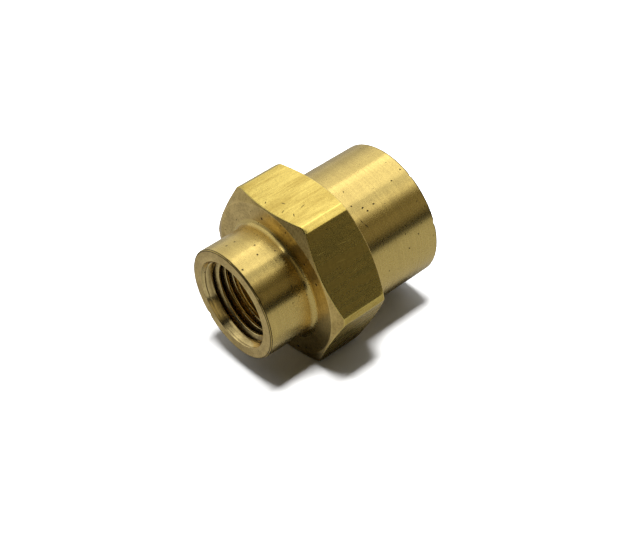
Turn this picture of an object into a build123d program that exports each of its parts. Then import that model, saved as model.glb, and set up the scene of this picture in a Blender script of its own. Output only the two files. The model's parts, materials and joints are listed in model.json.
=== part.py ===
from build123d import *

import os
from math import atan, degrees, radians, tan

# A brass reducing coupling, 1/4 in by 1/8 in female taper pipe thread, turned from hexagon bar.
#
# The bore lies along X, with the small end at -X and the large end at +X. The origin is on the bore's
# axis, midway between the two end faces, and a wrench flat faces straight up and straight down.

# Outside, in millimetres.
across_flats = 19.05
across_corners = 21.5
total_length = 22.7
small_collar_diameter = 13.3
small_collar_length = 5.95
large_collar_diameter = 16.25
large_collar_length = 9.8
shoulder_circle_diameter = 18.6
shoulder_chamfer_angle = 25
shoulder_fillet = 0.6
rim_break = 0.12

# Pipe thread, common to both ends: 60 degree form on a taper of 1 in 16 on diameter.
thread_taper = 1 / 32
thread_flank_angle = 30
thread_height_in_pitches = 0.8
lead_turns = 4
turns_outside = 1.31
countersink_angle = 30
countersink_over_thread = 0.18
# As parts of a pitch: how far inside the pitch line the groove's flanks run, how much further in its
# cutter goes, and how clear of the drilled wall the last turn of the lead ends.
flank_reach = 0.36
cutter_reach = 0.4
lead_clearance = 0.05

# Small end, 27 threads to the inch.
small_pitch = 25.4 / 27
small_pitch_radius = 9.489 / 2
small_drill_diameter = 8.85
small_full_turns = 4

# Large end, 18 threads to the inch, drilled deeper than it is tapped.
large_pitch = 25.4 / 18
large_pitch_radius = 12.487 / 2
large_drill_diameter = 11.5
large_drill_depth = 12.0
large_full_turns = 4
drill_point_half_angle = 118 / 2

# Worked out from the sizes above.
small_end_x = -total_length / 2
large_end_x = total_length / 2
small_shoulder_x = small_end_x + small_collar_length
large_shoulder_x = large_end_x - large_collar_length
small_collar_radius = small_collar_diameter / 2
large_collar_radius = large_collar_diameter / 2
corner_radius = across_corners / 2
shoulder_circle_radius = shoulder_circle_diameter / 2
shoulder_chamfer_length = (corner_radius - shoulder_circle_radius) * tan(radians(shoulder_chamfer_angle))
small_drill_radius = small_drill_diameter / 2
large_drill_radius = large_drill_diameter / 2
small_mouth_radius = small_pitch_radius + thread_height_in_pitches * small_pitch / 2 + countersink_over_thread
large_mouth_radius = large_pitch_radius + thread_height_in_pitches * large_pitch / 2 + countersink_over_thread
small_countersink_depth = (small_mouth_radius - small_drill_radius) / tan(radians(countersink_angle))
large_countersink_depth = (large_mouth_radius - large_drill_radius) / tan(radians(countersink_angle))
drill_bottom_x = large_end_x - large_drill_depth
drill_point_length = (large_drill_radius - small_drill_radius) / tan(radians(drill_point_half_angle))

same_size = 0.01


def circles_at(part, x, radius):
    """The round edges of a part at one place along the bore, with one radius."""
    return part.edges().filter_by(GeomType.CIRCLE).filter_by(
        lambda edge: abs(edge.arc_center.X - x) < same_size and abs(edge.radius - radius) < same_size
    )


def cut_thread(end_x, inward, pitch, pitch_radius, drill_radius, full_turns):
    """Cut a right-hand taper thread into the drilled bore of the open part, one turn at a time.

    The first turn starts outside the end face, so that the thread runs out through the countersink.
    The last turns are cut by the tap's tapered lead, and die away into the drilled wall.
    """
    half_height = thread_height_in_pitches * pitch / 2
    flank = tan(radians(thread_flank_angle))
    # The groove's section, with its flat root outermost. Inside the bore its sides stand straight, so
    # that one turn never runs into the next.
    flank_end = flank_reach * pitch
    cutter_end = flank_end + cutter_reach * pitch
    root_half_width = pitch / 4 - half_height * flank
    mouth_half_width = pitch / 4 + flank_end * flank
    section = (
        (-root_half_width, half_height),
        (root_half_width, half_height),
        (mouth_half_width, -flank_end),
        (mouth_half_width, -cutter_end),
        (-mouth_half_width, -cutter_end),
        (-mouth_half_width, -flank_end),
    )
    full_drop = thread_taper * pitch
    lead_start_radius = pitch_radius - (full_turns - turns_outside) * full_drop
    lead_depth = lead_start_radius + half_height - drill_radius + lead_clearance * pitch
    drops = [full_drop] * full_turns + [lead_depth / lead_turns] * lead_turns
    along = Vector(inward, 0, 0)
    start_x = end_x - inward * pitch * turns_outside
    start_radius = pitch_radius + full_drop * turns_outside
    for drop in drops:
        with BuildLine():
            path = Helix(
                pitch,
                pitch,
                start_radius,
                center=(start_x, 0, 0),
                direction=along,
                cone_angle=-degrees(atan(drop / pitch)),
            )
        start = path @ 0
        outward = Vector(0, start.Y, start.Z).normalized()
        with BuildSketch(Plane(origin=start, x_dir=along, z_dir=along.cross(outward))) as groove:
            with BuildLine():
                Polyline(*section, close=True)
            make_face()
        sweep(groove.sketch, path=path, is_frenet=True, mode=Mode.SUBTRACT)
        start_x += inward * pitch
        start_radius -= drop


with BuildPart() as coupling_body:
    # The length of bar that stays hexagonal.
    with BuildSketch(Plane.YZ.offset(small_shoulder_x)):
        RegularPolygon(across_flats / 2, 6, major_radius=False)
    extrude(amount=large_shoulder_x - small_shoulder_x)
    # Its corners are turned round, and both its ends are chamfered.
    with BuildSketch(Plane.XZ):
        with BuildLine():
            Polyline(
                (small_shoulder_x, 0),
                (small_shoulder_x, shoulder_circle_radius),
                (small_shoulder_x + shoulder_chamfer_length, corner_radius),
                (large_shoulder_x - shoulder_chamfer_length, corner_radius),
                (large_shoulder_x, shoulder_circle_radius),
                (large_shoulder_x, 0),
                close=True,
            )
        make_face()
    revolve(axis=Axis.X, mode=Mode.INTERSECT)
    # The two turned collars, each with a fillet left by the tool where it meets the shoulder, and
    # with its rim's sharp edge taken off.
    with BuildSketch(Plane.YZ.offset(small_end_x)):
        Circle(small_collar_radius)
    extrude(amount=small_collar_length)
    with BuildSketch(Plane.YZ.offset(large_shoulder_x)):
        Circle(large_collar_radius)
    extrude(amount=large_collar_length)
    small_root = circles_at(coupling_body, small_shoulder_x, small_collar_radius)
    large_root = circles_at(coupling_body, large_shoulder_x, large_collar_radius)
    fillet(small_root + large_root, shoulder_fillet)
    small_rim = circles_at(coupling_body, small_end_x, small_collar_radius)
    large_rim = circles_at(coupling_body, large_end_x, large_collar_radius)
    chamfer(small_rim + large_rim, rim_break)
    # One drill goes right through. The larger one stops on its point, and both mouths are countersunk.
    with BuildSketch(Plane.XZ):
        with BuildLine():
            Polyline(
                (small_end_x, 0),
                (small_end_x, small_mouth_radius),
                (small_end_x + small_countersink_depth, small_drill_radius),
                (drill_bottom_x - drill_point_length, small_drill_radius),
                (drill_bottom_x, large_drill_radius),
                (large_end_x - large_countersink_depth, large_drill_radius),
                (large_end_x, large_mouth_radius),
                (large_end_x, 0),
                close=True,
            )
        make_face()
    revolve(axis=Axis.X, mode=Mode.SUBTRACT)
    cut_thread(small_end_x, 1, small_pitch, small_pitch_radius, small_drill_radius, small_full_turns)
    cut_thread(large_end_x, -1, large_pitch, large_pitch_radius, large_drill_radius, large_full_turns)

os.makedirs("parts", exist_ok=True)
coupling_body.part.label = "coupling_body"
export_step(coupling_body.part, "parts/coupling_body.step")
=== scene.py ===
import json
from math import acos, cos, degrees, pi, radians, sin, tan

import bpy
from mathutils import Matrix, Vector


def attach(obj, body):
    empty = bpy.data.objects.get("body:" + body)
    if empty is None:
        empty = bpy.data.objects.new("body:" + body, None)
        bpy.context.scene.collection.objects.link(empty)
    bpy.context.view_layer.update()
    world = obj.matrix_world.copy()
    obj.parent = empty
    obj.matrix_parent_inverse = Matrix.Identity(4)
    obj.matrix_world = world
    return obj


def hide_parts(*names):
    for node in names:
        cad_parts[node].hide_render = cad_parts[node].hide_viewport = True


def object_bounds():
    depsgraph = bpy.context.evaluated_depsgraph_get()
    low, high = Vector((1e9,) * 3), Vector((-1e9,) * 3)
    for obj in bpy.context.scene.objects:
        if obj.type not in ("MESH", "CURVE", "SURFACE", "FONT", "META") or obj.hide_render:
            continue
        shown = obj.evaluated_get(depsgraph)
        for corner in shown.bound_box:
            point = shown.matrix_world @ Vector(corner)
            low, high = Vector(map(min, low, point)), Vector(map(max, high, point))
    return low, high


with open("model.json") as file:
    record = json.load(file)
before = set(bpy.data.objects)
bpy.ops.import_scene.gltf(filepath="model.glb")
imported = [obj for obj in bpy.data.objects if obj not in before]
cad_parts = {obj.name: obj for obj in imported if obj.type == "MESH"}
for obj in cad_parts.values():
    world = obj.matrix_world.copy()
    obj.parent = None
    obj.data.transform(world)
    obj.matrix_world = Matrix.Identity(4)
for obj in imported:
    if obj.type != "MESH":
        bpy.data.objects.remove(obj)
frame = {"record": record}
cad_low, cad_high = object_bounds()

# ---------------------------------------------------------------------------------------------
# The camera looks down on the small end and on one side of the hexagon, from about a hand's length
# away. It is tipped a little, so that the bench runs downhill to the right.

mm = 0.001
part_centre = (cad_low + cad_high) / 2
camera_distance = 149.12 * mm
camera_turn = radians(-36.86)
camera_height = radians(40.71)
camera_tip = radians(-6.126)
aim_from_centre = Vector((0.006, -1.195, -1.107)) * mm

lens = bpy.data.cameras.new("studio_camera")
lens.lens = 76.107
lens.sensor_width = 36
lens.clip_start = 5 * mm
lens.clip_end = 50
camera = bpy.data.objects.new("studio_camera", lens)
bpy.context.scene.collection.objects.link(camera)
bpy.context.scene.camera = camera
facing = (
    Matrix.Rotation(camera_turn, 4, "Z")
    @ Matrix.Rotation(pi / 2 - camera_height, 4, "X")
    @ Matrix.Rotation(camera_tip, 4, "Z")
)
camera.matrix_world = (
    Matrix.Translation(part_centre + aim_from_centre) @ facing @ Matrix.Translation((0, 0, camera_distance))
)

# ---------------------------------------------------------------------------------------------
# The bench is a seamless sheet of white card. The camera sees it burnt out to clean white, while
# the metal sees it as plain card.

card_reach = 0.35
card_tone = 0.12
card_tone_to_camera = 0.55

bench_mesh = bpy.data.meshes.new("white_card")
bench_mesh.from_pydata(
    [(x * card_reach, y * card_reach, cad_low.z) for x, y in ((-1, -1), (1, -1), (1, 1), (-1, 1))],
    [],
    [(0, 1, 2, 3)],
)
bench = bpy.data.objects.new("white_card", bench_mesh)
bpy.context.scene.collection.objects.link(bench)


def add_node(tree, kind, sockets=None, **settings):
    """A shader node with these settings, and each named socket given a value or linked to an output."""
    made = tree.nodes.new("ShaderNode" + kind)
    for setting, value in settings.items():
        setattr(made, setting, value)
    for socket, value in (sockets or {}).items():
        if isinstance(value, bpy.types.NodeSocket):
            tree.links.new(value, made.inputs[socket])
        else:
            made.inputs[socket].default_value = value
    return made


def new_finish(name):
    """A fresh material with an empty node tree."""
    material = bpy.data.materials.new(name)
    material.use_nodes = True
    material.node_tree.nodes.clear()
    return material, material.node_tree


card, tree = new_finish("white_card")
card_colours = [
    add_node(tree, "BsdfDiffuse", {"Color": (tone, tone, tone, 1)}).outputs["BSDF"]
    for tone in (card_tone, card_tone_to_camera)
]
who_looks = add_node(tree, "LightPath").outputs["Is Camera Ray"]
card_mix = add_node(tree, "MixShader", {"Fac": who_looks, 1: card_colours[0], 2: card_colours[1]})
add_node(tree, "OutputMaterial", {"Surface": card_mix.outputs["Shader"]})
bench_mesh.materials.append(card)

# ---------------------------------------------------------------------------------------------
# The part stands in a tent of white cloth that is lit from outside, brightest at the right and warm and
# dim at the front. A small key lamp overhead brightens what faces up, and a strip lamp throws the shadow.

lamp_distance = 0.6


def panel(name, across, up, wide, deep, glow, tint=(1, 1, 1)):
    """A flat lamp aimed at the part, with how far round from +X and how high above the bench it stands.

    Wide and deep are how large it looks from the part. All four are in degrees.
    """
    light = bpy.data.lights.new(name, "AREA")
    light.color = tint
    light.shape = "RECTANGLE"
    light.size = 2 * lamp_distance * tan(radians(wide / 2))
    light.size_y = 2 * lamp_distance * tan(radians(deep / 2))
    # An even sheet of light gives off pi times its glow from each unit of its area.
    light.energy = glow * pi * light.size * light.size_y
    lamp = bpy.data.objects.new(name, light)
    bpy.context.scene.collection.objects.link(lamp)
    towards = Vector((
        cos(radians(across)) * cos(radians(up)),
        sin(radians(across)) * cos(radians(up)),
        sin(radians(up)),
    ))
    lamp.location = part_centre + towards * lamp_distance
    lamp.rotation_euler = towards.to_track_quat("Z", "Y").to_euler()
    lamp.visible_camera = False
    return lamp


panel("key_lamp", -90, 83, 9, 9, 4.4)
panel("tent_roof", 90, 75, 70, 50, 0.66)
panel("tent_back", 90, 24, 70, 52, 0.7)
panel("tent_back_left", 135, 30, 20, 50, 0.3)
panel("tent_back_right", 45, 30, 20, 50, 0.68)
panel("tent_right", 0, 50, 60, 38, 1.1)
panel("tent_right_foot", 0, 8, 70, 16, 0.6)
warm_tint = (1.0, 0.86, 0.55)
panel("tent_front", -90, 26, 70, 18, 0.1, warm_tint)
panel("tent_front_left", -135, 30, 20, 50, 0.3, warm_tint)
panel("tent_front_right", -45, 30, 20, 50, 0.3, warm_tint)

# The strip lamp is kept off the metal, and only throws the part's shadow on the card.
strip_lamp = panel("strip_lamp", -90, 86, 24, 14, 106)
card_only = bpy.data.collections.new("lit_by_strip_lamp")
card_only.objects.link(bench)
strip_lamp.light_linking.receiver_collection = card_only

# The room beyond the card is as white as the card to the camera, and nearly dark to the metal.
room_tone = 0.01
room_tone_to_camera = 1.0
room = bpy.data.worlds.new("studio_room")
room.use_nodes = True
bpy.context.scene.world = room
tree = room.node_tree
tree.nodes.clear()
room_colours = [
    add_node(tree, "Background", {"Color": (tone, tone, tone, 1)}).outputs["Background"]
    for tone in (room_tone, room_tone_to_camera)
]
who_looks = add_node(tree, "LightPath").outputs["Is Camera Ray"]
room_mix = add_node(tree, "MixShader", {"Fac": who_looks, 1: room_colours[0], 2: room_colours[1]})
add_node(tree, "OutputWorld", {"Surface": room_mix.outputs["Shader"]})
bpy.context.scene.view_settings.view_transform = "Standard"

# ---------------------------------------------------------------------------------------------
# The bar is drawn brass hexagon, with flats that come from the die and narrow rounded corners. The
# lathe turns a collar at each end, faces both ends and both shoulders, and chamfers the hexagon.

small_end = cad_low.x / mm
large_end = cad_high.x / mm
half_flats = (cad_high.z - cad_low.z) / mm / 2
half_corners = (cad_high.y - cad_low.y) / mm / 2
small_collar = 13.3 / 2
large_collar = 16.25 / 2
small_shoulder = small_end + 5.95
large_shoulder = large_end - 9.8
chamfer_start = 18.6 / 2
chamfer_slope = tan(radians(25))
collar_fillet = 0.6
rim_break = 0.12
rim_softness = 0.03
hexagon_softness = 0.07
edge_margin = 0.05

# How bright each edge is rubbed. Below 0, a dark line of painted shade lies along it instead.
hexagon_wear = 1
shoulder_wear = 0.5
rim_shade = -1.2

# Angles run round the bore from +Y towards +Z. A flat reaches this far from its middle, and there
# the columns of points stand closer together, to round its long edge a little.
flats = 6
flat_turn = 360 / flats
flat_reach = degrees(acos(half_flats / half_corners))
edge_blend = 0.45
flat_columns = 30
edge_angles = [flat_reach + edge_blend * step for step in (-1, -0.5, 0, 0.5, 1, 3)]
even_reach = edge_angles[0]
side_angles = [even_reach * (2 * step / flat_columns - 1) for step in range(1, flat_columns)]
side_angles = [-flat_turn / 2] + [-angle for angle in edge_angles[::-1]] + side_angles + edge_angles
columns = [radians(flat_turn * (flat + 0.5) + angle) for flat in range(flats) for angle in side_angles]
blend_depth = half_flats * tan(radians(flat_reach)) / cos(radians(flat_reach)) * radians(edge_blend)


def from_flat(angle):
    """The angle in degrees from the middle of the nearest flat."""
    return degrees(angle) % flat_turn - flat_turn / 2


def bar_radius(angle):
    """How far the drawn bar reaches from the bore's axis, with each flat blended into the corners."""
    flat = half_flats / cos(radians(from_flat(angle)))
    overlap = max(blend_depth - abs(flat - half_corners), 0) / blend_depth
    return min(flat, half_corners) - overlap * overlap * blend_depth / 4


def softened(before, corner, after, setback, steps):
    """The points of an arc that takes off a corner of the outline, starting setback away from it."""
    back = (Vector(before) - Vector(corner)).normalized()
    on = (Vector(after) - Vector(corner)).normalized()
    opening = back.angle(on)
    turn = pi - opening
    centre = Vector(corner) + (back + on).normalized() * setback / cos(opening / 2)
    first = Vector(corner) + back * setback - centre
    last = Vector(corner) + on * setback - centre
    shares = [(sin(turn * (1 - step / steps)), sin(turn * step / steps)) for step in range(steps + 1)]
    return [centre + (first * a + last * b) / sin(turn) for a, b in shares]


faced, turned, drawn, tapped = range(4)


def outline(reach, small_mouth, large_mouth):
    """The outside at one column, from the small mouth to the large one, where the bar has this reach.

    Each row is (x, radius, finish of the skin after it, how much of an edge it is).
    """
    chamfer_length = (reach - chamfer_start) * chamfer_slope
    # Each corner has its place, how far its softening sets back, the steps in that, how rubbed it is or,
    # below 0, how much painted shade lies along it, and the rows and finish of the stretch after it.
    corners = [
        ((small_end, small_mouth), 0, 0, 0, 5, faced),
        ((small_end, small_collar - rim_break), rim_softness, 2, rim_shade, 1, turned),
        ((small_end + rim_break, small_collar), rim_softness, 2, rim_shade, 24, turned),
        ((small_shoulder, small_collar), collar_fillet, 8, 0, 6, faced),
        ((small_shoulder, chamfer_start), rim_softness, 2, shoulder_wear, 4, faced),
        ((small_shoulder + chamfer_length, reach), hexagon_softness, 4, hexagon_wear, 20, drawn),
        ((large_shoulder - chamfer_length, reach), hexagon_softness, 4, hexagon_wear, 4, faced),
        ((large_shoulder, chamfer_start), rim_softness, 2, shoulder_wear, 3, faced),
        ((large_shoulder, large_collar), collar_fillet, 8, 0, 36, turned),
        ((large_end - rim_break, large_collar), rim_softness, 2, rim_shade, 1, turned),
        ((large_end, large_collar - rim_break), rim_softness, 2, rim_shade, 5, faced),
        ((large_end, large_mouth), 0, 0, 0, 0, faced),
    ]
    rows = []
    for index, (place, setback, steps, wear_and_rim_shade, stretch, finish) in enumerate(corners):
        if steps:
            arc = softened(corners[index - 1][0], place, corners[index + 1][0], setback, steps)
            arc_finish = turned if setback == collar_fillet else finish
            rows += [(x, radius, arc_finish, wear_and_rim_shade) for x, radius in arc[:-1]]
            start = arc[-1]
            rows.append((*start, finish, wear_and_rim_shade))
        else:
            start = Vector(place)
            rows.append((*start, finish, wear_and_rim_shade))
        if stretch:
            following, next_setback = corners[index + 1][:2]
            way = Vector(following) - Vector(place)
            end = Vector(following) - way.normalized() * next_setback
            length = (end - start).length
            margin = min(edge_margin, length / 4)
            inner_start = start + way.normalized() * margin
            inner_end = end - way.normalized() * margin
            for step in range(stretch + 1):
                x, radius = inner_start.lerp(inner_end, step / stretch)
                rows.append((x, radius, finish, 0.0))
    return rows


# ---------------------------------------------------------------------------------------------
# Both ends are drilled, countersunk and tapped with a right-hand taper pipe thread. The groove
# starts in the countersink and dies away into the drilled wall, where the tap's lead stopped.

inch = 25.4
small_pitch = inch / 27
small_pitch_radius = 9.489 / 2
large_pitch = inch / 18
large_pitch_radius = 12.487 / 2
thread_taper = 1 / 32
flank_slope = tan(radians(30))
thread_height = 0.8
full_turns = 4
lead_turns = 4
lead_clearance = 0.05
countersink_over_thread = 0.18
countersink_slope = tan(radians(30))
crest_softness = 0.03
thinnest_flank = 0.08
merging_distance = 0.015

# A groove has eleven points, and there is one on the land after it. The end of the last turn is too
# shallow to leave a mark, and some turns more are laid out, so that every column reaches that far.
nodes_in_turn = 12
vanished_turns = 0.4
spare_turns = 3

# The groove's helix starts at this angle, and this many turns outside the end face.
thread_start_angle = pi / 2
turns_outside = 1.31

# The countersink gets a little painted shade, as if it lay this deep in a groove.
countersink_shade = 0.12

mounts = {mount["name"]: mount for mount in frame["record"]["mounts"]}
small_drill = mounts["small_thread"]["dims"]["r_mm"]
large_drill = mounts["large_thread"]["dims"]["r_mm"]


def turned_by(angle, hand):
    """How much of a turn the groove's helix has made at this angle since it last passed its start."""
    return (hand * (angle - thread_start_angle) / (2 * pi) - turns_outside) % 1


def tapped_rows(pitch, pitch_radius, drill_radius, hand):
    """The rows of one tapped bore at every column, its mouth's radius, and how deep its thread goes.

    Each row is (depth from the end face, radius, how deep in the groove with the countersink's painted
    shade added, how much of a crest's edge), and every turn has the same number of them, so that a row
    follows the helix all the way.
    """
    half_height = thread_height * pitch / 2
    root_half_width = pitch / 4 - half_height * flank_slope
    mouth = pitch_radius + half_height + countersink_over_thread
    turns_to_lead = full_turns - turns_outside
    lead_start = pitch_radius + half_height - turns_to_lead * thread_taper * pitch
    lead_drop = (lead_start + lead_clearance * pitch - drill_radius) / lead_turns
    last_depth = (full_turns + lead_turns - vanished_turns) * pitch

    def wall(depth):
        """The radius of the countersink or of the drilled bore."""
        return max(mouth - depth * countersink_slope, drill_radius)

    def groove_rows(centre):
        """One groove's section, from its outer crest to its inner crest."""
        turn = centre / pitch
        full_drop = thread_taper * pitch * min(turn, turns_to_lead)
        root = pitch_radius + half_height - full_drop - lead_drop * max(turn - turns_to_lead, 0)
        to_drill = (root - drill_radius) * flank_slope
        # How far each flank runs before it meets the countersink's slope.
        both_slopes = countersink_slope * flank_slope
        over_mouth = (root - mouth + centre * countersink_slope) * flank_slope
        outer = min(to_drill, (over_mouth - root_half_width * both_slopes) / (1 + both_slopes))
        inner = min(to_drill, (over_mouth + root_half_width * both_slopes) / (1 - both_slopes))
        rows = [(centre, max(root, wall(centre)), 0.0)]
        for way, reach in ((-1, max(outer, thinnest_flank)), (1, max(inner, thinnest_flank))):
            flank = []
            for offset in (0, reach / 2, reach - crest_softness):
                depth = centre + way * (root_half_width + offset)
                flank.append((depth, max(root - offset / flank_slope, wall(depth)), 0.0))
            edge_depth = centre + way * (root_half_width + reach)
            edge_radius = max(root - reach / flank_slope, wall(edge_depth))
            crest_depth = edge_depth + way * crest_softness
            crest_radius = wall(crest_depth)
            soft_depth = edge_depth / 2 + (flank[-1][0] + crest_depth) / 4
            soft_radius = edge_radius / 2 + (flank[-1][1] + crest_radius) / 4
            flank += [(soft_depth, soft_radius, 1.0), (crest_depth, crest_radius, 0.5)]
            rows = flank[::-1] + rows if way < 0 else rows + flank
        return rows

    countersink_depth = (mouth - drill_radius) / countersink_slope
    turns = range(full_turns + lead_turns + spare_turns)
    bore = []
    for angle in columns:
        start = turned_by(angle, hand) - 1
        grooves = [groove_rows((start + turn) * pitch) for turn in turns]
        column = []
        for this, following in zip(grooves, grooves[1:]):
            land = (this[-1][0] + following[0][0]) / 2
            column += this + [(land, wall(land), 0.0)]
        placed = []
        for depth, radius, crest in column:
            if depth < merging_distance:
                placed.append((0, mouth, 0.0, 0.0))
            elif depth > last_depth - merging_distance:
                placed.append((last_depth, drill_radius, 0.0, 0.0))
            else:
                # Painted shade in the countersink.
                countersink_shade_here = countersink_shade * (depth < countersink_depth)
                placed.append((depth, radius, countersink_shade_here + (radius - wall(depth)) / (2 * half_height), crest))
        bore.append(placed)
    return bore, mouth, last_depth


small_bore, small_mouth, small_thread_depth = tapped_rows(small_pitch, small_pitch_radius, small_drill, 1)
large_bore, large_mouth, large_thread_depth = tapped_rows(large_pitch, large_pitch_radius, large_drill, -1)

# ---------------------------------------------------------------------------------------------
# The skin of the finished coupling is one closed mesh: along the outside, in through the large mouth,
# and out through the small one. Its points also carry how deep they lie in a groove, which paints shade
# there, and how worn an edge they are on, which is below 0 where a line of painted shade runs along a rim.

large_drill_depth = 12.0
drill_point_slope = tan(radians(118 / 2))
plain_rows = 3
rubbed_reach = 0.75
sharpest_smooth_turn = radians(38)

points, groove_depths, point_wear_and_rim_shade, faces, finishes = [], [], [], [], []


def add_point(x, radius, angle, groove=0.0, wear_and_rim_shade=0.0):
    """One point of the skin, and its number."""
    points.append((x * mm, radius * cos(angle) * mm, radius * sin(angle) * mm))
    groove_depths.append(groove)
    point_wear_and_rim_shade.append(wear_and_rim_shade)
    return len(points) - 1


def add_face(corners, finish):
    """A face, unless so many of its corners are the same point that nothing is left of it."""
    distinct = [corner for index, corner in enumerate(corners) if corner != corners[index - 1]]
    if len(set(distinct)) > 2:
        faces.append(distinct)
        finishes.append(finish)


def skin(ring, following, finish):
    """The faces between two rings of points, each with one point for every column."""
    for here in range(len(columns)):
        there = (here + 1) % len(columns)
        add_face([ring[here], ring[there], following[there], following[here]], finish)


def edge_at(angle, finish_before, finish_after, wear_and_rim_shade):
    """How worn a point of the outside is, below 0 where a rim has painted shade, with the bar's long edges
    counted in.
    """
    beside_edge = abs(abs(from_flat(angle)) - flat_reach) < edge_blend * rubbed_reach
    return 1.0 if beside_edge and drawn in (finish_before, finish_after) else wear_and_rim_shade


# Knocks from the bin that it was stored in: a place by x, radius and angle, how far each reaches, and
# how deep it goes. They only push the skin inwards, so the part stays inside its own size.
dents = [
    (small_end, small_collar, 143, 0.42, 0.10),
    (small_end, small_collar, 96, 0.3, 0.05),
    (small_end, small_collar, 212, 0.35, 0.06),
    (small_end, small_collar, 318, 0.4, 0.08),
    (large_end, large_collar, 164, 0.5, 0.08),
    (large_end, large_collar, 121, 0.35, 0.07),
    (large_end, large_collar, 38, 0.45, 0.09),
    (large_end, large_collar, 262, 0.4, 0.08),
    (small_shoulder + 0.45, half_corners, 121, 0.5, 0.07),
    (small_shoulder + 0.5, half_corners, 62, 0.45, 0.06),
    (small_shoulder + 3.6, half_corners, 118, 0.4, 0.04),
    (large_shoulder - 0.5, half_corners, 178, 0.5, 0.07),
    (large_shoulder - 0.5, half_corners, 2, 0.5, 0.08),
    (large_shoulder - 2.4, half_corners, 241, 0.45, 0.06),
    (small_shoulder + 0.5, half_corners, 299, 0.5, 0.08),
]


def dented(x, radius, angle):
    """Where a point of the outside ends up after the knocks."""
    for dent_x, dent_radius, dent_angle, reach, depth in dents:
        around = dent_radius * radians((degrees(angle) - dent_angle + 180) % 360 - 180)
        share = 1 - ((x - dent_x) ** 2 + around ** 2 + (radius - dent_radius) ** 2) / reach ** 2
        if share > 0:
            push = depth * share ** 2
            radius -= push
            if dent_x in (small_end, large_end):
                x -= push if dent_x == large_end else -push
    return x, radius


outside = [outline(bar_radius(angle), small_mouth, large_mouth) for angle in columns]
row_finishes = [row[2] for row in outside[0]]
outside_rings = []
for row in range(len(row_finishes)):
    ring = []
    for column, angle in enumerate(columns):
        x, radius, finish, wear_and_rim_shade = outside[column][row]
        x, radius = dented(x, radius, angle)
        ring.append(add_point(x, radius, angle, 0.0, edge_at(angle, row_finishes[row - 1], finish, wear_and_rim_shade)))
    outside_rings.append(ring)
for ring, following, finish in zip(outside_rings, outside_rings[1:], row_finishes):
    skin(ring, following, finish)


def tapped_skin(end, inward, bore, last_depth, mouth_ring, end_radius, hand):
    """The faces of one tapped bore, from the mouth's ring to a new ring where the groove has died away."""
    end_ring = [add_point(end + inward * last_depth, end_radius, angle) for angle in columns]
    lines = []
    for column, angle in enumerate(columns):
        line = []
        for depth, radius, groove, crest in bore[column]:
            if depth == 0:
                line.append(mouth_ring[column])
            elif depth == last_depth:
                line.append(end_ring[column])
            else:
                line.append(add_point(end + inward * depth, radius, angle, groove, crest))
        lines.append(line)
    height = len(lines[0])
    for here in range(len(columns)):
        there = (here + 1) % len(columns)
        # Where the helix passes its starting angle, a row joins the row of the next turn or the last.
        step_back = turned_by(columns[here], hand) - turned_by(columns[there], hand)
        shift = round(step_back) * nodes_in_turn
        near = [mouth_ring[here]] * nodes_in_turn + lines[here] + [end_ring[here]] * nodes_in_turn
        far = [mouth_ring[there]] * nodes_in_turn + lines[there] + [end_ring[there]] * nodes_in_turn
        for row in range(max(-shift, 0), height + 2 * nodes_in_turn - 1 - max(shift, 0)):
            corners = [near[row], far[row + shift], far[row + shift + 1], near[row + 1]]
            add_face(corners[::-hand], tapped)
    return end_ring


small_inner = tapped_skin(small_end, 1, small_bore, small_thread_depth, outside_rings[0], small_drill, 1)
large_inner = tapped_skin(large_end, -1, large_bore, large_thread_depth, outside_rings[-1], large_drill, -1)
drill_bottom = large_end - large_drill_depth
drill_point = drill_bottom - (large_drill - small_drill) / drill_point_slope
plain_bore = [
    Vector((small_end + small_thread_depth, small_drill)),
    Vector((drill_point, small_drill)),
    Vector((drill_bottom, large_drill)),
    Vector((large_end - large_thread_depth, large_drill)),
]
plain_places = [
    start.lerp(end, step / plain_rows)
    for start, end in zip(plain_bore, plain_bore[1:])
    for step in range(1, plain_rows + 1)
]
# The last place already has its ring, where the large thread's groove died away.
bore_rings = [small_inner]
for x, radius in plain_places[:-1]:
    bore_rings.append([add_point(x, radius, angle) for angle in columns])
bore_rings.append(large_inner)
for ring, following in zip(bore_rings, bore_rings[1:]):
    skin(following, ring, tapped)

skin_mesh = bpy.data.meshes.new("coupling")
skin_mesh.from_pydata(points, [], faces)
skin_mesh.polygons.foreach_set("material_index", finishes)
skin_mesh.polygons.foreach_set("use_smooth", [True] * len(faces))
for name, values in (("groove", groove_depths), ("edge_wear_and_shade", point_wear_and_rim_shade)):
    skin_mesh.attributes.new(name, "FLOAT", "POINT").data.foreach_set("value", values)
skin_mesh.set_sharp_from_angle(angle=sharpest_smooth_turn)

coupling = bpy.data.objects.new("coupling", skin_mesh)
bpy.context.scene.collection.objects.link(coupling)
shading = coupling.modifiers.new("flat_faces_stay_flat", "WEIGHTED_NORMAL")
shading.keep_sharp = True
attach(coupling, "root")
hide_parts("coupling_body")

# ---------------------------------------------------------------------------------------------
# The metal is bare free-cutting brass, dulled a little by air, oil and handling. What differs from
# one surface to the next is how it was cut: which way the tool marks run and how rough they are.


def node_group(name, inputs, outputs):
    """A node group with these inputs, each (name, kind, starting value), and these outputs."""
    group = bpy.data.node_groups.new(name, "ShaderNodeTree")
    for socket, kind, value in inputs:
        made = group.interface.new_socket(socket, in_out="INPUT", socket_type="NodeSocket" + kind)
        made.default_value = value
    for socket, kind in outputs:
        group.interface.new_socket(socket, in_out="OUTPUT", socket_type="NodeSocket" + kind)
    return group, group.nodes.new("NodeGroupInput").outputs, group.nodes.new("NodeGroupOutput")


def group_in(tree, group, sockets):
    """A node group placed in a material with its own values."""
    return add_node(tree, "Group", sockets, node_tree=group).outputs


def calculate(tree, operation, *values):
    """A number worked out by a Math node."""
    return add_node(tree, "Math", dict(enumerate(values)), operation=operation).outputs[0]


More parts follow.
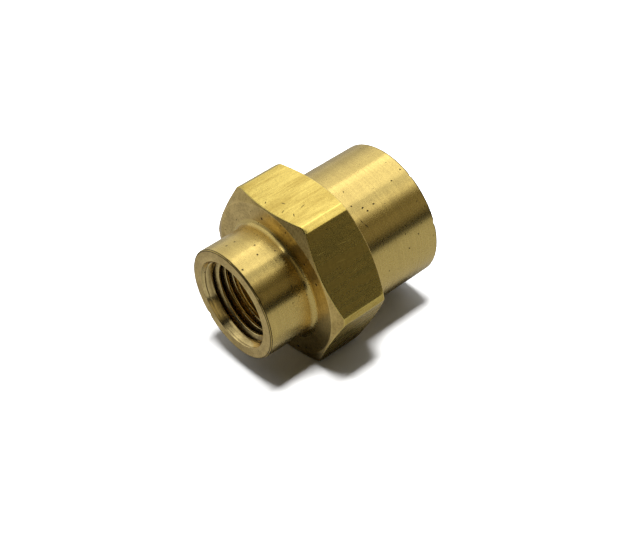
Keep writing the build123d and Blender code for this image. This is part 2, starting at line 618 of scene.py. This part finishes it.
def calculate_vector(tree, operation, *values):
    """The outputs of a Vector Math node: a vector first, or for some operations a number under Value."""
    return add_node(tree, "VectorMath", dict(enumerate(values)), operation=operation).outputs


def noise(tree, place, scale, detail, roughness=0.5):
    """The outputs of a noise texture: a number that wanders smoothly about a half, and a colour."""
    sockets = {"Vector": place, "Scale": scale, "Detail": detail, "Roughness": roughness}
    return add_node(tree, "TexNoise", sockets).outputs


def ramped(tree, value, low, high):
    """A value stretched so that low becomes 0 and high becomes 1, smoothly."""
    sockets = {"Value": value, "From Min": low, "From Max": high}
    return add_node(tree, "MapRange", sockets, interpolation_type="SMOOTHSTEP").outputs["Result"]


def mixed(tree, share, first, second):
    """A number that goes from the first to the second as the share goes from 0 to 1."""
    return add_node(tree, "Mix", {0: share, 2: first, 3: second}, data_type="FLOAT").outputs[0]


def mixed_colour(tree, share, first, second):
    """A colour that goes from the first to the second as the share goes from 0 to 1."""
    return add_node(tree, "Mix", {0: share, 6: first, 7: second}, data_type="RGBA").outputs[2]


# The fine lines that a cutter or a die leaves. Across them they are spaced along the bore, or on a faced
# surface by radius.
line_heights = (0.3, 0.7)
coarser = (0.23, 0.5, 0.5)

tool_lines, given, result = node_group(
    "tool_lines",
    [
        ("Place", "Vector", (0, 0, 0)),
        ("Faced", "Float", 0.0),
        ("Lines Per Millimetre", "Vector", (6, 0.2, 0.2)),
        ("Coarse Share", "Float", 0.35),
    ],
    [("Height", "Float")],
)
parts = add_node(tool_lines, "SeparateXYZ", {0: given["Place"]}).outputs
from_axis = add_node(tool_lines, "CombineXYZ", {1: parts[1], 2: parts[2]}).outputs[0]
radius_here = calculate_vector(tool_lines, "LENGTH", from_axis)["Value"]
across_lines = mixed(tool_lines, given["Faced"], parts[0], radius_here)
spot = add_node(tool_lines, "CombineXYZ", {0: across_lines, 1: parts[1], 2: parts[2]}).outputs[0]
fine_spot = calculate_vector(tool_lines, "MULTIPLY", spot, given["Lines Per Millimetre"])[0]
coarse_spot = calculate_vector(tool_lines, "MULTIPLY", fine_spot, coarser)[0]
fine = noise(tool_lines, fine_spot, 1, 2, 0.6)[0]
coarse = noise(tool_lines, coarse_spot, 1, 1)[0]
both = mixed(tool_lines, given["Coarse Share"], fine, coarse)
tool_lines.links.new(ramped(tool_lines, both, *line_heights), result.inputs["Height"])

# How dull the brass has gone: in broad patches, in a fine grain, along the bottoms of the tool lines and
# under grime, but not on an edge that is rubbed bright. The same dulling also paints shade into the
# thread's grooves and along the rims. Its colour follows.
patch_contrast = (0.36, 0.64)
grain_contrast = (0.4, 0.68)
grains_per_millimetre = 4.5
edge_cleaning_and_shading = -0.7

brass_tone, given, result = node_group(
    "brass_tone",
    [
        ("Place", "Vector", (0, 0, 0)),
        ("Lines", "Float", 0.5),
        ("Wear And Rim Shade", "Float", 0.0),
        ("Grime And Shade", "Float", 0.0),
        ("Clean", "Color", (0.8, 0.6, 0.2, 1)),
        ("Dulled", "Color", (0.6, 0.42, 0.14, 1)),
        ("Patches Per Millimetre", "Vector", (0.5, 0.5, 0.5)),
        ("Patch Share", "Float", 0.5),
        ("Line Share", "Float", 0.2),
        ("Grain Share", "Float", 0.2),
    ],
    [("Color", "Color"), ("Dullness", "Float")],
)
patch_spot = calculate_vector(brass_tone, "MULTIPLY", given["Place"], given["Patches Per Millimetre"])[0]
patches = ramped(brass_tone, noise(brass_tone, patch_spot, 1, 4, 0.6)[0], *patch_contrast)
grain = noise(brass_tone, given["Place"], grains_per_millimetre, 3, 0.6)[0]
grain = ramped(brass_tone, grain, *grain_contrast)
bottoms = calculate(brass_tone, "SUBTRACT", 1.0, given["Lines"])
dull = given["Grime And Shade"]
for amount, share in ((patches, "Patch Share"), (bottoms, "Line Share"), (grain, "Grain Share")):
    dull = calculate(brass_tone, "MULTIPLY_ADD", amount, given[share], dull)
dull = calculate(brass_tone, "MULTIPLY_ADD", given["Wear And Rim Shade"], edge_cleaning_and_shading, dull)
dull = add_node(brass_tone, "Clamp", {0: dull, 1: 0.0, 2: 1.0}).outputs[0]
tone = mixed_colour(brass_tone, dull, given["Clean"], given["Dulled"])
brass_tone.links.new(tone, result.inputs["Color"])
brass_tone.links.new(dull, result.inputs["Dullness"])

# Small pits and specks at random places, each with a size of its own and an outline that isn't round.
pit_outline_wobble = (0.12, 0.12, 0.12)
wobbles_per_millimetre = 6
smallest_pit = 0.4
pit_edge = (0.4, 1.0)

pits, given, result = node_group(
    "pits",
    [
        ("Place", "Vector", (0, 0, 0)),
        ("Spacing", "Float", 0.8),
        ("Share", "Float", 0.3),
        ("Size", "Float", 0.12),
    ],
    [("Mask", "Float")],
)
pit_scale = calculate(pits, "DIVIDE", 1.0, given["Spacing"])
wobble = noise(pits, given["Place"], wobbles_per_millimetre, 1)["Color"]
wobbled = calculate_vector(pits, "MULTIPLY_ADD", wobble, pit_outline_wobble, given["Place"])[0]
cells = add_node(pits, "TexVoronoi", {"Vector": wobbled, "Scale": pit_scale, "Randomness": 1.0}).outputs
chance = add_node(pits, "SeparateXYZ", {0: cells["Color"]}).outputs
from_middle = calculate(pits, "MULTIPLY", cells["Distance"], given["Spacing"])
own_size = calculate(pits, "MULTIPLY", given["Size"], calculate(pits, "ADD", smallest_pit, chance[1]))
inside = calculate(pits, "DIVIDE", from_middle, own_size)
whole_pit = calculate(pits, "SUBTRACT", 1.0, ramped(pits, inside, *pit_edge))
chosen = calculate(pits, "LESS_THAN", chance[0], given["Share"])
pits.links.new(calculate(pits, "MULTIPLY", whole_pit, chosen), result.inputs["Mask"])

# One knock or scratch: a long ragged spot at a known place.
raggedness = 0.8
rags_per_millimetre = 9
knock_edge = (0.5, 1.5)

knock, given, result = node_group(
    "knock",
    [
        ("Place", "Vector", (0, 0, 0)),
        ("Centre", "Vector", (0, 0, 0)),
        ("Direction", "Vector", (1, 0, 0)),
        ("Length", "Float", 0.4),
        ("Width", "Float", 0.15),
    ],
    [("Mask", "Float")],
)
away = calculate_vector(knock, "SUBTRACT", given["Place"], given["Centre"])[0]
length_along = calculate_vector(knock, "DOT_PRODUCT", away, given["Direction"])["Value"]
along_knock = {0: given["Direction"], "Scale": length_along}
nearest = add_node(knock, "VectorMath", along_knock, operation="SCALE").outputs[0]
sideways = calculate_vector(knock, "SUBTRACT", away, nearest)[0]
side_distance = calculate_vector(knock, "LENGTH", sideways)["Value"]
half_length = calculate(knock, "MULTIPLY", given["Length"], 0.5)
half_width = calculate(knock, "MULTIPLY", given["Width"], 0.5)
share_along = calculate(knock, "DIVIDE", length_along, half_length)
share_side = calculate(knock, "DIVIDE", side_distance, half_width)
reach = calculate(knock, "MULTIPLY", share_along, share_along)
reach = calculate(knock, "MULTIPLY_ADD", share_side, share_side, reach)
ragged = noise(knock, given["Place"], rags_per_millimetre, 2)[0]
reach = calculate(knock, "MULTIPLY_ADD", ragged, raggedness, reach)
knock.links.new(calculate(knock, "SUBTRACT", 1.0, ramped(knock, reach, *knock_edge)), result.inputs["Mask"])


def on_round(x, angle, radius, along, around, length, width):
    """A mark on a round surface, with its direction given by how far it runs along and around the bore."""
    turn = radians(angle)
    centre = (x, radius * cos(turn), radius * sin(turn))
    direction = Vector((along, -around * sin(turn), around * cos(turn))).normalized()
    return {"Centre": centre, "Direction": direction, "Length": length, "Width": width}


# Dirt fills pits and knocks, and is rough and dark. A line of painted shade along each rim is drawn the
# same way, and the grooves get painted shade through the dulling. Heights are in tool lines.
dirt_and_shade_colour = (0.05, 0.033, 0.014, 1)
dirt_roughness = 0.25
dull_roughness = 0.085
scratch_roughness = 0.1
groove_shade = 0.8
rim_line_darkness = -0.75
pit_height = -6.0
waves_per_millimetre = (1.4, 1.8, 1.8)


def brass(
    name, clean, dulled, roughness, spread, spread_turn, lines, line_height, ripple, patch, pit,
    marks=(), rubs=(),
):
    """A brass finish. Spread is how much wider gloss is one way than the other, and spread_turn which way.

    Marks are dark knocks with dirt in them, and rubs are bright scratches.
    """
    material, tree = new_finish(name)
    in_metres = add_node(tree, "TexCoord").outputs["Object"]
    place = calculate_vector(tree, "MULTIPLY", in_metres, (1 / mm, 1 / mm, 1 / mm))[0]
    wear_and_rim_shade = add_node(tree, "Attribute", attribute_name="edge_wear_and_shade").outputs["Fac"]
    groove = add_node(tree, "Attribute", attribute_name="groove").outputs["Fac"]
    cut = group_in(tree, tool_lines, {"Place": place, **lines})
    dirt_and_rim_shade = group_in(tree, pits, {"Place": place, **pit})["Mask"]
    for mark in marks:
        mask = group_in(tree, knock, {"Place": place, **mark})["Mask"]
        dirt_and_rim_shade = calculate(tree, "MAXIMUM", dirt_and_rim_shade, mask)
    # A rim with an edge value below 0 gets a dark line of painted shade, coloured and roughened like dirt.
    dirt_and_rim_shade = calculate(tree, "MAXIMUM", dirt_and_rim_shade, calculate(tree, "MULTIPLY", wear_and_rim_shade, rim_line_darkness))
    scratch = 0.0
    for rub in rubs:
        mask = group_in(tree, knock, {"Place": place, **rub})["Mask"]
        scratch = calculate(tree, "MAXIMUM", scratch, mask)
    rubs_and_rim_shade = calculate(tree, "ADD", wear_and_rim_shade, scratch)
    # The groove depth paints shade into the roots of the thread and into the countersink.
    grime_and_shade = calculate(tree, "MULTIPLY_ADD", groove, groove_shade, dirt_and_rim_shade)
    metal_parts = {"Lines": cut["Height"], "Wear And Rim Shade": rubs_and_rim_shade, "Grime And Shade": grime_and_shade}
    colours = {"Clean": clean, "Dulled": dulled}
    tone = group_in(tree, brass_tone, {"Place": place, **metal_parts, **colours, **patch})
    rough = calculate(tree, "MULTIPLY_ADD", tone["Dullness"], dull_roughness, roughness)
    rough = calculate(tree, "MULTIPLY_ADD", dirt_and_rim_shade, dirt_roughness, rough)
    rough = calculate(tree, "MULTIPLY_ADD", scratch, scratch_roughness, rough)
    wave_lines = {"Place": place, "Lines Per Millimetre": waves_per_millimetre}
    waves = group_in(tree, tool_lines, wave_lines)["Height"]
    surface = calculate(tree, "MULTIPLY_ADD", dirt_and_rim_shade, pit_height, cut["Height"])
    surface = calculate(tree, "MULTIPLY_ADD", waves, ripple, surface)
    bump = add_node(tree, "Bump", {"Strength": 1.0, "Distance": line_height * mm, "Height": surface})
    around = add_node(tree, "Tangent", direction_type="RADIAL", axis="X")
    metal = add_node(
        tree,
        "BsdfPrincipled",
        {
            "Metallic": 1.0,
            "Base Color": mixed_colour(tree, dirt_and_rim_shade, tone["Color"], dirt_and_shade_colour),
            "Roughness": rough,
            "Normal": bump.outputs["Normal"],
            "Anisotropic": spread,
            "Anisotropic Rotation": spread_turn,
            "Tangent": around.outputs["Tangent"],
        },
    )
    add_node(tree, "OutputMaterial", {"Surface": metal.outputs["BSDF"]})
    return material


# Each knock on a collar has its x, its angle round the bore, and the collar's radius. Then come which way
# it runs, its length and its width.
small_knocks = [
    on_round(-9.84, 77.3, small_collar, 1, 0.2, 0.30, 0.20),
    on_round(-8.86, 78.4, small_collar, 1, 0.0, 0.30, 0.18),
    on_round(-7.15, 158.0, small_collar, 1, 0.0, 0.16, 0.12),
    on_round(-6.85, 160.5, small_collar, 1, 0.0, 0.14, 0.12),
]
large_knocks = [
    on_round(4.00, 123.5, large_collar, 1, -0.2, 0.34, 0.20),
    on_round(4.28, 127.4, large_collar, 1, 0.1, 0.30, 0.22),
    on_round(5.38, 125.3, large_collar, 1, 0.1, 0.34, 0.20),
    on_round(8.96, 117.3, large_collar, 1, 0.6, 0.26, 0.20),
    on_round(2.95, 132.2, large_collar, 0.35, 1, 0.55, 0.12),
    on_round(3.20, 136.6, large_collar, 0.35, 1, 0.60, 0.14),
    on_round(7.48, 205.0, large_collar, 1, 1, 0.35, 0.14),
    on_round(8.82, 164.3, large_collar, 1, 0, 0.22, 0.20),
    on_round(4.08, 179.8, large_collar, 1, 0, 0.18, 0.18),
]

# Bright scratches on the front flat and the top one, and dark knocks on the top flat and its front edge.
top = half_flats
flat_rubs = [
    {"Centre": (-0.8, -7.18, 6.61), "Direction": (0.99, -0.07, -0.12), "Length": 2.4, "Width": 0.10},
    {"Centre": (-4.1, -7.05, 6.85), "Direction": (1.0, 0.0, 0.0), "Length": 1.3, "Width": 0.10},
    {"Centre": (-2.2, -7.95, 5.29), "Direction": (0.98, -0.10, -0.17), "Length": 1.8, "Width": 0.07},
    {"Centre": (-1.0, -8.75, 3.90), "Direction": (0.97, 0.12, 0.21), "Length": 1.2, "Width": 0.07},
    {"Centre": (-1.5, 1.4, top), "Direction": (1.0, 0.08, 0), "Length": 3.2, "Width": 0.09},
    {"Centre": (-2.6, 3.1, top), "Direction": (1.0, -0.05, 0), "Length": 2.2, "Width": 0.08},
]
flat_knocks = [
    {"Centre": (-3.9, -2.9, top), "Direction": (0.5, 0.8, 0), "Length": 0.7, "Width": 0.12},
    {"Centre": (-4.3, -1.6, top), "Direction": (0.9, 0.4, 0), "Length": 0.6, "Width": 0.11},
    {"Centre": (-3.4, -0.6, top), "Direction": (0.3, -0.9, 0), "Length": 0.8, "Width": 0.11},
    {"Centre": (-2.3, -2.4, top), "Direction": (1.0, 0.2, 0), "Length": 0.9, "Width": 0.10},
    {"Centre": (-4.6, 0.9, top), "Direction": (0.8, 0.6, 0), "Length": 0.5, "Width": 0.12},
    {"Centre": (-2.30, -6.1, 8.5), "Direction": (1.0, 0.1, 0), "Length": 0.5, "Width": 0.14},
]

skin_mesh.materials.append(brass(
    "faced_brass",
    clean=(0.86, 0.64, 0.23, 1),
    dulled=(0.52, 0.37, 0.12, 1),
    roughness=0.28,
    spread=0.6,
    spread_turn=0.25,
    lines={"Faced": 1.0, "Lines Per Millimetre": (7.0, 0.12, 0.12), "Coarse Share": 0.45},
    line_height=0.0016,
    ripple=2.0,
    patch={
        "Patches Per Millimetre": (0.5, 0.5, 0.5),
        "Patch Share": 0.5,
        "Line Share": 0.35,
        "Grain Share": 0.45,
    },
    pit={"Spacing": 0.9, "Share": 0.22, "Size": 0.16},
))
skin_mesh.materials.append(brass(
    "turned_brass",
    clean=(0.82, 0.62, 0.20, 1),
    dulled=(0.54, 0.39, 0.13, 1),
    roughness=0.25,
    spread=0.85,
    spread_turn=0.25,
    lines={"Faced": 0.0, "Lines Per Millimetre": (6.0, 0.1, 0.1), "Coarse Share": 0.25},
    line_height=0.0005,
    ripple=1.5,
    patch={
        "Patches Per Millimetre": (0.5, 0.2, 0.2),
        "Patch Share": 0.12,
        "Line Share": 0.25,
        "Grain Share": 0.22,
    },
    pit={"Spacing": 0.6, "Share": 0.2, "Size": 0.1},
    marks=small_knocks + large_knocks,
))
skin_mesh.materials.append(brass(
    "drawn_brass",
    clean=(0.78, 0.60, 0.155, 1),
    dulled=(0.54, 0.385, 0.085, 1),
    roughness=0.22,
    spread=0.7,
    spread_turn=0.0,
    lines={"Faced": 0.0, "Lines Per Millimetre": (0.15, 5.0, 5.0), "Coarse Share": 0.6},
    line_height=0.0006,
    ripple=12.0,
    patch={
        "Patches Per Millimetre": (0.15, 0.8, 0.8),
        "Patch Share": 0.7,
        "Line Share": 0.3,
        "Grain Share": 0.25,
    },
    pit={"Spacing": 1.1, "Share": 0.2, "Size": 0.12},
    marks=flat_knocks,
    rubs=flat_rubs,
))
# The tapped finish's dulled colour is nearly black, so that it also paints shade into the grooves.
skin_mesh.materials.append(brass(
    "tapped_brass",
    clean=(0.88, 0.69, 0.30, 1),
    dulled=(0.20, 0.135, 0.045, 1),
    roughness=0.19,
    spread=0.5,
    spread_turn=0.25,
    lines={"Faced": 0.0, "Lines Per Millimetre": (5.0, 0.25, 0.25), "Coarse Share": 0.5},
    line_height=0.0016,
    ripple=1.0,
    patch={
        "Patches Per Millimetre": (0.8, 0.4, 0.4),
        "Patch Share": 0.3,
        "Line Share": 0.3,
        "Grain Share": 0.2,
    },
    pit={"Spacing": 1.0, "Share": 0.2, "Size": 0.12},
))
